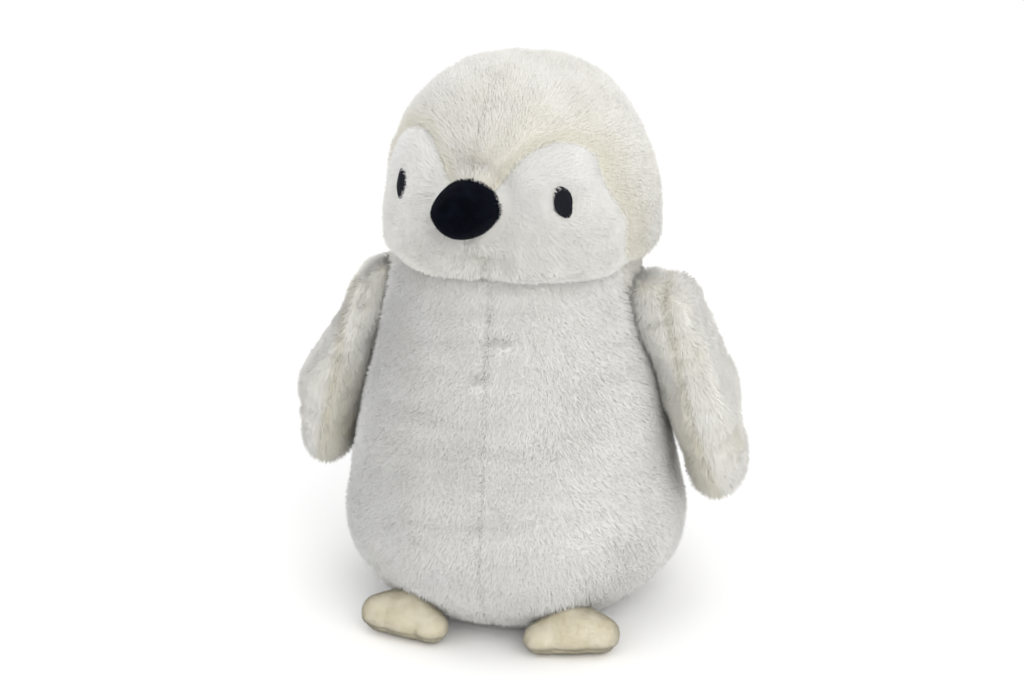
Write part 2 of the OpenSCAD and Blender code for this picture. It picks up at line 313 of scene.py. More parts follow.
def scaled(tree, value, low, high, out_low=0.0, out_high=1.0):
    """A value mapped from one range to another, clamped."""
    inputs = {"Value": value, "From Min": low, "From Max": high, "To Min": out_low, "To Max": out_high}
    return add(tree, "ShaderNodeMapRange", inputs).outputs["Result"]


def noise(tree, place, size_mm, detail=3, roughness=0.5, stretch=(1, 1, 1)):
    """Noise with features about size_mm across, stretched along the object's axes."""
    inputs = {"Vector": place, "Scale": tuple(1 / (s * size_mm * MM) for s in stretch)}
    mapped = add(tree, "ShaderNodeMapping", inputs).outputs["Vector"]
    inputs = {"Vector": mapped, "Scale": 1, "Detail": detail, "Roughness": roughness}
    return add(tree, "ShaderNodeTexNoise", inputs).outputs["Fac"]


def bumped(tree, shader, height, depth_mm, strength=1.0):
    inputs = {"Height": height, "Distance": depth_mm * MM, "Strength": strength}
    tree.links.new(add(tree, "ShaderNodeBump", inputs).outputs["Normal"], shader.inputs["Normal"])


# ---- Materials ------------------------------------------------------------

def polyester_pile_fur(name, tip, root, painted_shade):
    """Long polyester pile: bright matt tips, with painted shade that makes the roots, the seams and the
    creases warmer and darker.
    """
    made, tree, place, shader = material(name, {
        "Roughness": 0.72, "Specular IOR Level": 0.25, "Sheen Weight": 0.18, "Sheen Roughness": 0.5,
    })
    along = add(tree, "ShaderNodeAttribute", attribute_name="tip").outputs["Fac"]
    painted_shade_share = add(tree, "ShaderNodeAttribute", attribute_name="painted_shade").outputs["Fac"]
    # Painted shade: each strand darkens and warms towards its root, where the pile shades itself.
    shade = blended(tree, scaled(tree, along, 0.0, 0.7), root, tip)
    # Tufts of a few millimetres take slightly different dye, and the pile has paler and warmer patches.
    tufts = scaled(tree, noise(tree, place, 2.2), 0.3, 0.75)
    patches = scaled(tree, noise(tree, place, 26, detail=2), 0.35, 0.7, 0.0, 0.2)
    shade = blended(tree, patches, shade, painted_shade)
    shade = blended(tree, scaled(tree, tufts, 0, 1, 0.0, 0.12), shade, root)
    # Painted shade: seams, creases and other places that the combing marks as shaded take the crease
    # colour.
    shade = blended(tree, painted_shade_share, shade, painted_shade)
    tree.links.new(shade, shader.inputs["Base Color"])
    fibres = noise(tree, place, 0.5, detail=2, stretch=(1, 1, 4))
    bumped(tree, shader, fibres, 0.12, 0.5)
    return made


def velboa(name, light, deep, sheen):
    """Velboa: a dense 1 mm pile cloth whose nap turns lighter and darker where it has been brushed."""
    made, tree, place, shader = material(name, {
        "Roughness": 1.0, "Specular IOR Level": 0.05, "Sheen Weight": sheen, "Sheen Roughness": 0.4,
    })
    brushed = scaled(tree, noise(tree, place, 9, detail=2), 0.35, 0.65)
    nap = scaled(tree, noise(tree, place, 0.7, detail=4), 0.3, 0.7, 0.0, 0.5)
    shade = blended(tree, brushed, light, deep)
    shade = blended(tree, nap, shade, deep)
    # Painted shade: seams and creases that the combing marks take the deep colour.
    painted_shade_share = add(tree, "ShaderNodeAttribute", attribute_name="painted_shade").outputs["Fac"]
    shade = blended(tree, painted_shade_share, shade, deep)
    tree.links.new(shade, shader.inputs["Base Color"])
    bumped(tree, shader, noise(tree, place, 0.45, detail=3), 0.25, 0.7)
    return made


def satin_floss(name, light, deep):
    """Rayon embroidery floss: smooth twisted filaments with a narrow satin shine."""
    made, tree, place, shader = material(name, {
        "Roughness": 0.6, "Specular IOR Level": 0.15, "Anisotropic": 0.4,
    })
    filaments = noise(tree, place, 0.25, detail=2)
    shade = blended(tree, scaled(tree, filaments, 0.3, 0.7), light, deep)
    tree.links.new(shade, shader.inputs["Base Color"])
    bumped(tree, shader, filaments, 0.05, 0.6)
    return made


def cotton_weave(name, light, deep):
    """Plain-woven cotton lining: two sets of 0.5 mm yarns crossing at right angles."""
    made, tree, place, shader = material(name, {"Roughness": 0.85, "Sheen Weight": 0.1})
    bands = []
    for direction in ("X", "Y"):
        inputs = {"Vector": place, "Scale": 2 * math.pi / (20 * 0.5 * MM), "Distortion": 0.6}
        wave = add(tree, "ShaderNodeTexWave", inputs, bands_direction=direction)
        bands.append(wave.outputs["Fac"])
    crossing = add(tree, "ShaderNodeMath", {0: bands[0], 1: bands[1]}, operation="MULTIPLY").outputs[0]
    slubs = noise(tree, place, 3, detail=3)
    shade = blended(tree, scaled(tree, crossing, 0, 1), deep, light)
    shade = blended(tree, scaled(tree, slubs, 0.4, 0.7, 0, 0.4), shade, deep)
    tree.links.new(shade, shader.inputs["Base Color"])
    bumped(tree, shader, crossing, 0.15, 0.8)
    return made


def polyester_fill(name, light, deep):
    """Hollow polyester fibre: a matt cloudy wad with fine strands on its surface."""
    made, tree, place, shader = material(name, {"Roughness": 0.9, "Sheen Weight": 0.4})
    wads = noise(tree, place, 12, detail=4, roughness=0.6)
    strands = noise(tree, place, 0.8, detail=4, roughness=0.7)
    shade = blended(tree, scaled(tree, wads, 0.35, 0.7), light, deep)
    tree.links.new(shade, shader.inputs["Base Color"])
    bumped(tree, shader, strands, 0.5, 0.8)
    return made


def twisted_thread(name, light, deep):
    """Polyester sewing thread: tight slanting twist with a slight shine."""
    made, tree, place, shader = material(name, {"Roughness": 0.5, "Sheen Weight": 0.1})
    inputs = {"Vector": place, "Scale": 2 * math.pi / (20 * 0.5 * MM), "Distortion": 1.0}
    twist = add(tree, "ShaderNodeTexWave", inputs, bands_direction="DIAGONAL").outputs["Fac"]
    tree.links.new(blended(tree, twist, deep, light), shader.inputs["Base Color"])
    bumped(tree, shader, twist, 0.1, 0.8)
    return made


def polypropylene_pellet(name, light, deep):
    """Moulded polypropylene beads: waxy, slightly cloudy, with scuffed tops."""
    made, tree, place, shader = material(name, {
        "Roughness": 0.32, "IOR": 1.49, "Subsurface Weight": 0.1,
    })
    cloud = noise(tree, place, 2.0, detail=3)
    shade = blended(tree, scaled(tree, cloud, 0.35, 0.7), light, deep)
    tree.links.new(shade, shader.inputs["Base Color"])
    bumped(tree, shader, noise(tree, place, 0.4), 0.03, 0.5)
    return made


# Painted shade: each pile's second colour darkens its strands' roots, and its third colour, also used for
# random patches, its seams and creases; each velboa's deep colour is both its random brushed tone and
# painted shade in seams.
white_fur = polyester_pile_fur("white_polyester_pile", "#f6f6f4", "#efeeeb", "#e4e2da")
ivory_fur = polyester_pile_fur("ivory_polyester_pile", "#f7f6f2", "#f0ede4", "#e3dec9")
cream_velboa = velboa("cream_velboa_pile", "#e8e2cf", "#d8cfb6", 0.12)
navy_velboa = velboa("navy_velboa_pile", "#10131f", "#080a12", 0.03)
navy_floss = satin_floss("navy_satin_floss", "#10131f", "#07090f")
cotton = cotton_weave("cotton_lining_weave", "#e4dfd0", "#bdb59f")
fill = polyester_fill("polyester_fibre_fill", "#f6f6f4", "#dcdcd8")
thread = twisted_thread("twisted_sewing_thread", "#efece0", "#c9c3ae")
pellet = polypropylene_pellet("polypropylene_pellet", "#efefec", "#d9d9d4")


# ---- Pile -----------------------------------------------------------------

def node_group(name, inputs, output):
    """A Geometry Nodes group with its named sockets, and the sockets that it is given."""
    tree = bpy.data.node_groups.new(name, "GeometryNodeTree")
    for socket, kind in inputs.items():
        tree.interface.new_socket(name=socket, in_out="INPUT", socket_type="NodeSocket" + kind)
    tree.interface.new_socket(name=output, in_out="OUTPUT", socket_type="NodeSocketGeometry")
    return tree, add(tree, "NodeGroupInput").outputs


def end_group(tree, instances, base, finish, output):
    """Makes the instances real, joins them to what they stand on, and gives both their material."""
    real = add(tree, "GeometryNodeRealizeInstances", {"Geometry": instances})
    joined = add(tree, "GeometryNodeJoinGeometry")
    tree.links.new(real.outputs["Geometry"], joined.inputs[0])
    tree.links.new(base, joined.inputs[0])
    dressed = add(tree, "GeometryNodeSetMaterial", {"Geometry": joined.outputs[0], "Material": finish})
    add(tree, "NodeGroupOutput", {output: dressed.outputs["Geometry"]})
    return tree


def pile_tree():
    """Geometry nodes that plant tapered strands on a sheet, each laid along its lay attribute."""
    tree, given = node_group("combed_pile", {
        "Sheet": "Geometry", "Strands per Square Metre": "Float", "Length": "Float",
        "Thickness": "Float", "Unevenness": "Float", "Seed": "Int", "Material": "Material",
    }, "Fur")
    furred = add(tree, "GeometryNodeInputNamedAttribute", {"Name": "furred"}, data_type="FLOAT")
    roots = add(tree, "GeometryNodeDistributePointsOnFaces", {
        "Mesh": given["Sheet"], "Selection": furred.outputs["Attribute"],
        "Density": given["Strands per Square Metre"], "Seed": given["Seed"],
    })
    lay = add(tree, "GeometryNodeInputNamedAttribute", {"Name": "lay"}, data_type="FLOAT_VECTOR")
    stray = add(tree, "FunctionNodeRandomValue", {
        "Min": (-1, -1, -1), "Max": (1, 1, 1), "Seed": given["Seed"],
    }, data_type="FLOAT_VECTOR")
    strayed = add(tree, "ShaderNodeVectorMath", {
        0: stray.outputs["Value"], "Scale": given["Unevenness"],
    }, operation="SCALE")
    heading = add(tree, "ShaderNodeVectorMath", {
        0: lay.outputs["Attribute"], 1: strayed.outputs["Vector"],
    }, operation="ADD")
    aimed = add(tree, "FunctionNodeAlignRotationToVector", {
        "Vector": heading.outputs["Vector"],
    }, axis="Z")
    half = add(tree, "ShaderNodeMath", {0: given["Thickness"], 1: 0.5}, operation="MULTIPLY")
    strand = add(tree, "GeometryNodeMeshCone", {
        "Vertices": 3, "Radius Bottom": half.outputs[0], "Depth": given["Length"],
    }, fill_type="NGON")
    height = add(tree, "ShaderNodeSeparateXYZ", {0: add(tree, "GeometryNodeInputPosition").outputs[0]})
    share = add(tree, "ShaderNodeMath", {0: height.outputs["Z"], 1: given["Length"]}, operation="DIVIDE")
    marked = add(tree, "GeometryNodeStoreNamedAttribute", {
        "Geometry": strand.outputs["Mesh"], "Name": "tip", "Value": share.outputs[0],
    }, data_type="FLOAT", domain="POINT")
    reach = add(tree, "GeometryNodeInputNamedAttribute", {"Name": "reach"}, data_type="FLOAT")
    varied = add(tree, "FunctionNodeRandomValue", {
        2: 0.72, 3: 1.15, "Seed": given["Seed"],
    }, data_type="FLOAT")
    grown = add(tree, "ShaderNodeMath", {
        0: reach.outputs["Attribute"], 1: varied.outputs[1],
    }, operation="MULTIPLY")
    planted = add(tree, "GeometryNodeInstanceOnPoints", {
        "Points": roots.outputs["Points"], "Instance": marked.outputs["Geometry"],
        "Rotation": aimed.outputs["Rotation"], "Scale": grown.outputs[0],
    })
    return end_group(tree, planted.outputs["Instances"], given["Sheet"], given["Material"], "Fur")


combed_pile = pile_tree()


def set_inputs(modifier, values):
    """Sets a Geometry Nodes modifier's inputs by their sockets' identifiers."""
    for item in modifier.node_group.interface.items_tree:
        if item.in_out == "INPUT" and item.name in values:
            modifier[item.identifier] = values[item.name]


def put_attribute(mesh, name, kind, values, domain="POINT"):
    attribute = mesh.attributes.new(name, kind, domain)
    key = "vector" if kind == "FLOAT_VECTOR" else "value"
    attribute.data.foreach_set(key, np.asarray(values, np.float32).ravel())


def lay_map(mesh, axis_x=0.0, axis_y=0.0):
    """A UV map that wraps the piece once round a vertical axis, for anything that needs one."""
    points = positions(mesh)
    corner = np.empty(len(mesh.loops), np.int32)
    mesh.loops.foreach_get("vertex_index", corner)
    around = np.arctan2(points[:, 1] - axis_y, points[:, 0] - axis_x) / (2 * math.pi) + 0.5
    span = max(float(np.ptp(points[:, 2])), 1e-6)
    up = (points[:, 2] - points[:, 2].min()) / span
    uv = np.column_stack([around, up])[corner].astype(np.float32)
    layer = mesh.uv_layers.new(name="OFBake")
    layer.uv.foreach_set("vector", uv.ravel())


def backed(mesh, thickness_mm):
    """The sheet with a woven backing: closed, with its outer faces marked as furred."""
    holder = new_object("backing_work", mesh)
    outer_faces = len(mesh.polygons)
    wall = holder.modifiers.new("Backing", "SOLIDIFY")
    wall.thickness = thickness_mm * MM
    wall.offset = -1
    closed = evaluated_mesh(holder)
    bpy.data.objects.remove(holder)
    mark = np.zeros(len(closed.polygons), np.float32)
    mark[:outer_faces] = 1
    put_attribute(closed, "furred", "FLOAT", mark, "FACE")
    return smooth_shading(closed)


def keep_off_floor(mesh):
    """Turns any pile that would go through the floor along it."""
    points = positions(mesh)
    points[:, 2] = np.maximum(points[:, 2], 0.15)
    put_positions(mesh, points)


def outer_area(mesh):
    area = np.empty(len(mesh.polygons), np.float32)
    mesh.polygons.foreach_get("area", area)
    furred = np.empty(len(mesh.polygons), np.float32)
    mesh.attributes["furred"].data.foreach_get("value", furred)
    return float((area * (furred > 0.5)).sum())


def fur_piece(name, mesh, fur, comb, pile):
    """Plants pile on a closed sheet, and returns the piece.
    comb(points, normals) gives the lay in the surface, the rise in degrees, the reach, and how much
    painted shade darkens the pile in seams, creases and shaded places."""
    points = positions(mesh)
    normals = normals_of(mesh)
    direction, rise, reach, painted_shade = comb(points, normals)
    flat = unit(direction - (direction * normals).sum(1, keepdims=True) * normals)
    rise = np.radians(rise)[:, None]
    put_attribute(mesh, "lay", "FLOAT_VECTOR", flat * np.cos(rise) + normals * np.sin(rise))
    put_attribute(mesh, "reach", "FLOAT", reach)
    # Painted shade: how far each point takes its material's shade colour.
    put_attribute(mesh, "painted_shade", "FLOAT", painted_shade)
    put_attribute(mesh, "skin_normal", "FLOAT_VECTOR", normals)
    holder = new_object(name, mesh)
    modifier = holder.modifiers.new("Pile", "NODES")
    modifier.node_group = combed_pile
    strands = pile["strands"]
    thickness = pile["thickness"] * 1
    set_inputs(modifier, {
        "Strands per Square Metre": strands / outer_area(mesh),
        "Length": pile["length"] * MM,
        "Thickness": thickness * MM,
        "Unevenness": pile["unevenness"],
        "Seed": pile["seed"],
        "Material": fur,
    })
    furry = evaluated_mesh(holder)
    holder.modifiers.clear()
    holder.data = furry
    skin = np.empty(len(furry.vertices) * 3, np.float32)
    furry.attributes["skin_normal"].data.foreach_get("vector", skin)
    smooth_shading(furry)
    soft = pile["softness"]
    shading = unit(skin.reshape(-1, 3).astype(float) * soft + normals_of(furry) * (1 - soft))
    furry.normals_split_custom_set_from_vertices(shading.tolist())
    for spare in ("lay", "reach", "furred", "skin_normal"):
        furry.attributes.remove(furry.attributes[spare])
    lay_map(furry)
    return holder


# ---- Torso ----------------------------------------------------------------

# The cloth lies this far inside the pile's tips, and the fill this far.
skin_depth = 3.4
fill_depth = 7.7

# Where the front seam is drawn in most: under the chin, and under the belly.
chest_z, under_z = 158, 26
# Dimples that the needle has left: across, height, depth and width.
needle_dimples = ((4.5, 157.5, 2.2, 5), (-4.3, 139.5, 2.8, 4.5), (45.8, 63, 1.6, 5))


def torso_profile():
    """The outside of the torso from the base panel's edge up to under the head."""
    low = [(float(torso_radius(np.array(z))), z) for z in np.linspace(0, neck_z, 90)]
    start = math.atan2(neck_r, neck_z - rock_z)
    dome = []
    for share in np.linspace(0.05, 1, 24):
        a = start + (math.radians(38) - start) * share
        dome.append((dome_r * math.sin(a), rock_z + dome_r * math.cos(a)))
    return low + dome


def side_seam(points):
    """Distance behind the side seams' leaning plane."""
    seam_y = side_seam_top_y + (neck_z - points[:, 2]) * math.tan(side_seam_lean)
    return (points[:, 1] - seam_y) * math.cos(side_seam_lean)


def torso_relief(points):
    """Seams drawn in, needle dimples, and the uneven fill under the cloth."""
    x, y, z = points.T
    front, back = y < 0, y > 0
    strong = 0.1 + 0.6 * near(z - chest_z, 20) + 0.6 * near(z - under_z, 16)
    relief = -1.3 * near(x, 3) * front * strong
    relief -= 1.3 * near(x, 3) * back
    relief -= 1.3 * near(side_seam(points), 3.5) * (z < 178)
    for dimple_x, dimple_z, depth, wide in needle_dimples:
        relief -= depth * near(x - dimple_x, wide) * near(z - dimple_z, 2.6) * front
        relief += 0.5 * depth * near(x - dimple_x, 2 * wide) * near(z - dimple_z + 6, 4) * front
    relief += 0.9 * lumps(points, 70, 3) + 0.35 * lumps(points, (40, 40, 16), 5)
    return np.maximum(relief, -3.0) * ramp(z, 2, 14)


def torso_comb(points, normals):
    """The torso's pile falls down and sways a little, with faint ridges across."""
    x, y, z = points.T
    around = np.column_stack([-y, x, np.zeros(len(x))]) / belly_r
    sway = 0.22 * lumps(points, 60, 11) + 0.12 * lumps(points, 22, 12)
    down = np.column_stack([x * 0.1 / belly_r, y * 0.1 / belly_r, -np.ones(len(x))])
    direction = down + around * sway[:, None]
    ridges = lumps(points, (90, 90, 9.5), 21) + 0.6 * lumps(points, (50, 50, 5), 22)
    rise = 66 + 5 * ridges + 3 * lumps(points, 14, 23)
    edge = np.minimum(np.abs(x), np.abs(side_seam(points)))
    drawn = np.where((y < 0) & (np.abs(x) < 6), 0.2, 1.0)
    reach = 1.04 - 0.25 * near(edge, 2) * drawn - 0.45 * near(z, 6)
    # Painted shade along the seams, and under the head.
    painted_shade = 0.2 * near(edge, 1.4) * drawn + 0.15 * near(z - neck_z + 3, 5)
    return direction, np.clip(rise, 40, 82), reach, painted_shade


def make_torso():
    profile = evenly(drawn_in(evenly(torso_profile(), 300), skin_depth), 92)
    bm = turned(profile, 176)
    move_along_normals(bm, torso_relief)
    cut_at_zero(bm, lambda p: p[:, 0])
    cut_at_zero(bm, side_seam)
    panels = {
        "belly_left": (white_fur, 1, -1), "belly_right": (white_fur, -1, -1),
        "back_left": (ivory_fur, 1, 1), "back_right": (ivory_fur, -1, 1),
    }
    for seed, (node, (fur, side, back)) in enumerate(panels.items()):
        mesh = part_where(bm, lambda c: (c[:, 0] * side > 0) & (side_seam(c) * back > 0))
        piece = fur_piece(node + "_fur", backed(mesh, 1.2), fur, torso_comb, {
            "strands": 43000, "length": 4.4, "thickness": 0.6, "unevenness": 0.2,
            "seed": 100 + seed, "softness": 0.97,
        })
        keep_off_floor(piece.data)
        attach(piece, "torso")
        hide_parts(node)
    bm.free()


# ---- Head -----------------------------------------------------------------

rim_z = neck_z
rim_round = 9
# The pinch under the beak, and the hollow that the beak is sewn into.
mouth_x, mouth_z = 5, 199.5
beak_seat_w, beak_seat_h = 16, 13.75


def head_profile():
    """The outside of the head, from the lining over the neck, round the rim and up to the crown."""
    lining = []
    for a in np.linspace(math.radians(46), math.radians(58), 10):
        lining.append(((cup_r + 1) * math.sin(a), rock_z + (cup_r + 1) * math.cos(a)))
    sides = []
    for a in np.linspace(math.radians(2), math.pi / 2, 9):
        z = rim_z + rim_round * (1 - math.cos(a))
        sides.append((float(crown_radius(np.array(z))) - rim_round * (1 - math.sin(a)), z))
    for z in np.linspace(rim_z + rim_round + 1, head_z, 6):
        sides.append((float(crown_radius(np.array(z))), z))
    crown = []
    for a in np.linspace(0.02, math.pi / 2, 80):
        z = head_z + head_rise * math.sin(a)
        crown.append((float(crown_radius(np.array(z))), z))
    outside = drawn_in(evenly(sides + crown, 300), skin_depth)
    outside[-1, 0] = 0
    return np.vstack([lining, outside])


def face_edges():
    """The straight edges of half a face's outline, as outward normals and offsets."""
    points = []
    for cx, cz, r in ((brow_x, brow_z, brow_r), (cheek_x, cheek_z, cheek_r)):
        for a in np.linspace(0, 2 * math.pi, 60, endpoint=False):
            points.append((cx + r * math.cos(a), cz + r * math.sin(a)))
    points += [(0, 150), (face_half_w, 150), (face_half_w, 172), (0, peak_z), (1, peak_z)]
    ring = [points[i] for i in convex_hull_2d(points)]
    edges = []
    for (ax, az), (bx, bz) in zip(ring, ring[1:] + ring[:1]):
        run = math.hypot(bx - ax, bz - az)
        normal = ((bz - az) / run, (ax - bx) / run)
        if normal[0] > -0.85:
            edges.append((*normal, normal[0] * ax + normal[1] * az))
    return np.array(edges)


FACE_EDGES = face_edges()


def off_face(points):
    """Distance outside the face's outline in the head's own frame. It is negative on the face."""
    across = np.abs(points[:, 0])
    reach = across[:, None] * FACE_EDGES[:, 0] + points[:, 2:3] * FACE_EDGES[:, 1] - FACE_EDGES[:, 2]
    return np.maximum(reach.max(1), points[:, 1] + 8)


def eye_centre(side):
    r = float(crown_radius(np.array(eye_z)))
    return np.array([side * r * math.sin(eye_angle), -r * math.cos(eye_angle), eye_z])


def head_relief(points):
    """Cheeks, muzzle, brow and the seams that the needle has drawn in."""
    x, y, z = points.T
    front = ramp(-y, 0, 20)
    edge = off_face(points)
    relief = -1.7 * near(edge - 1.5, 3.2) * ramp(z, 176, 190)
    relief += 1.3 * near(edge + 9, 7) * front
    relief -= 0.5 * near(x, 3) * (edge > 1) * ramp(z, 235, 250)
    relief -= 1.0 * near(x, 3) * (y > 0)
    relief += 2.6 * near(np.abs(x) - 27, 17) * near(z - 196, 15) * front
    beak = np.hypot(x / beak_seat_w, (z - beak_z) / beak_seat_h)
    relief -= 1.8 * near((beak - 1.15) * 14, 5) * front
    relief -= 3.0 * near(x - mouth_x, 7.5) * near(z - mouth_z, 2.8) * front
    relief += 1.0 * near(x - mouth_x + 1, 6) * near(z - mouth_z - 4.5, 2.5) * front
    relief -= 2.0 * near(x - mouth_x - 1, 3) * ramp(mouth_z + 1.5 - z, 0, 6) * front
    for side in (1, -1):
        away = np.linalg.norm(points - eye_centre(side), axis=1)
        relief -= 2.3 * near(away, 7)
        relief += 0.8 * near(away - 11, 5)
    relief += 0.7 * lumps(points, 55, 31) + 0.3 * lumps(points, 20, 32)
    return np.maximum(relief, -3.4) * ramp(z, rim_z, rim_z + 6)


def hood_comb(points, normals):
    """The hood's pile runs from the beak back over the crown, and falls down the sides and back."""
    x, y, z = points.T
    arm = points - np.array([0, 0, head_z])
    back_over = np.column_stack([np.zeros(len(x)), arm[:, 2], -arm[:, 1]]) / head_r
    falling = np.column_stack([np.zeros(len(x)), 0.25 * np.ones(len(x)), -0.75 * np.ones(len(x))])
    direction = back_over + falling + 0.25 * lumps(points, 30, 41)[:, None] * np.array([1, 0, 0])
    edge = np.abs(off_face(points))
    rise = 62 + 4 * lumps(points, 11, 42) + 3 * lumps(points, (30, 30, 8), 43)
    rise = rise - 10 * near(edge, 4) - 14 * near(z - rim_z, 6)
    reach = 1 - 0.15 * near(edge, 3)
    # Painted shade in the valley on the hood's side of the face seam, and along the centre seam, more at
    # the back.
    seam = np.where(y > 0, 0.4, 0.12) * near(x, 1.6)
    painted_shade = 0.5 * near(off_face(points) - 2.0, 4.0) + seam
    return direction, np.clip(rise, 20, 78), reach, np.clip(painted_shade, 0, 1)


def face_comb(points, normals):
    """The face's shorter pile fans out from the beak."""
    x, z = points[:, 0], points[:, 2]
    fan = points - np.array([0, -66, beak_z - 3])
    direction = unit(fan) + np.array([0, 0, -0.25]) + 0.15 * lumps(points, 20, 51)[:, None]
    rise = 50 + 5 * lumps(points, 9, 52) - 14 * near(z - rim_z, 6)
    around_eye = np.minimum(*[np.linalg.norm(points - eye_centre(s), axis=1) for s in (1, -1)])
    reach = 1 - 0.85 * near(around_eye, 7) - 0.3 * near(np.hypot(x / 16, (z - beak_z) / 14) - 1, 0.25)
    reach = reach - 0.4 * near(off_face(points), 3) + 0.25 * near(z - rim_z, 5)
    # Painted shade at the chin seam and the mouth's pinch, and darker towards the bottom of the face.
    chin = near(x - mouth_x - 1, 1.8) * ramp(mouth_z + 0.5 - z, 0, 5)
    under = 0.5 * ramp(236 - z, 0, 40)
    painted_shade = 0.3 * chin + 0.5 * near(x - mouth_x, 6) * near(z - mouth_z, 1.8) + under
    return direction, np.clip(rise, 24, 66), np.clip(reach, 0.15, 1), np.clip(painted_shade, 0, 1)


head_place = Matrix.Translation((head_x * MM, 0, 0)) @ Matrix.Rotation(-head_turn, 4, "Z")


def make_head():
    profile = head_profile()
    lining, outside = profile[:10], evenly(profile[10:], 84)
    bm = turned(np.vstack([lining, outside]), 200)
    move_along_normals(bm, head_relief)
    cut_at_zero(bm, lambda p: p[:, 0])
    cut_at_zero(bm, off_face)
    panels = {
        "hood_left": (ivory_fur, 1, 1), "hood_right": (ivory_fur, -1, 1),
        "face_left": (white_fur, 1, -1), "face_right": (white_fur, -1, -1),
    }
    for seed, (node, (fur, side, hood)) in enumerate(panels.items()):
        mesh = part_where(bm, lambda c: (c[:, 0] * side > 0) & (off_face(c) * hood > 0))
        on_hood = hood > 0
        piece = fur_piece(node + "_fur", backed(mesh, 1.2), fur, hood_comb if on_hood else face_comb, {
            "strands": 40000 if on_hood else 24000, "length": 4.6,
            "thickness": 0.55 if on_hood else 0.5, "unevenness": 0.18, "seed": 200 + seed,
            "softness": 0.97 if on_hood else 0.95,
        })
        piece.data.transform(head_place)
        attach(piece, "head")
        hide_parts(node)
    bm.free()


# ---- Beak -----------------------------------------------------------------

beak_half_w, beak_half_h = 15.8, 12.7
beak_root_y, beak_tip_y = -59.5, -83.6
beak_sag = 0.9


def beak_surface(around, along):
    """The beak as a closed padded form: a rounded lozenge from the front, drawn out to side corners."""
    bm = bmesh.new()
    rings = []
    for j in range(along):
        t = j / along
        share = math.cos(t * math.pi / 2) ** 0.72
        y = beak_root_y + (beak_tip_y - beak_root_y) * math.sin(t * math.pi / 2) ** 1.05
        ring = []
        for i in range(around):
            a = 2 * math.pi * i / around
            c, s = math.cos(a), math.sin(a)
            r = (abs(c) ** 2.0 + abs(s) ** 1.45) ** (-1 / 1.7)
            seam = math.exp(-((math.asin(s) / 0.09) ** 2))
            r *= 1 - 0.022 * seam * (1 - t)
            z = beak_z + beak_half_h * r * s * share - beak_sag - 1.2 * t
            ring.append(bm.verts.new((beak_half_w * r * c * share, y, z)))
        rings.append(ring)
    tip = bm.verts.new((0, beak_tip_y, beak_z - beak_sag - 1.2))
    for low, high in zip(rings, rings[1:]):
        for i in range(around):
            j = (i + 1) % around
            bm.faces.new((low[i], low[j], high[j], high[i]))
    for i in range(around):
        bm.faces.new((rings[-1][i], rings[-1][(i + 1) % around], tip))
    bmesh.ops.recalc_face_normals(bm, faces=bm.faces)
    bm.normal_update()
    outward = sum(f.normal.dot(f.calc_center_median() - Vector((0, -66, beak_z))) for f in bm.faces)
    if outward < 0:
        bmesh.ops.reverse_faces(bm, faces=bm.faces)
    return bm


def beak_comb(points, normals):
    direction = np.tile([0.0, 1.0, -0.25], (len(points), 1))
    rise = 48 + 10 * lumps(points, 4, 61)
    # Painted shade along the side seam.
    painted_shade = 0.5 * near(points[:, 2] - beak_z + beak_sag, 0.6)
    return direction, rise, np.ones(len(points)), painted_shade


def make_beak():
    bm = beak_surface(96, 30)
    core = fill_piece("beak_fill", bm, 1.6, "head", ["beak_stuffing"])
    core.data.transform(head_place)
    cut_at_zero(bm, lambda p: p[:, 2] - beak_z)
    for seed, (node, side) in enumerate({"beak_upper": 1, "beak_lower": -1}.items()):
        mesh = part_where(bm, lambda c: (c[:, 2] - beak_z) * side > 0)
        piece = fur_piece(node + "_cloth", backed(mesh, 0.8), navy_velboa, beak_comb, {
            "strands": 9000, "length": 1.1, "thickness": 0.26, "unevenness": 0.3,
            "seed": 300 + seed, "softness": 0.6,
        })
        piece.data.transform(head_place)
        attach(piece, "head")
        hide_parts(node)
    bm.free()


# ---- Eyes -----------------------------------------------------------------

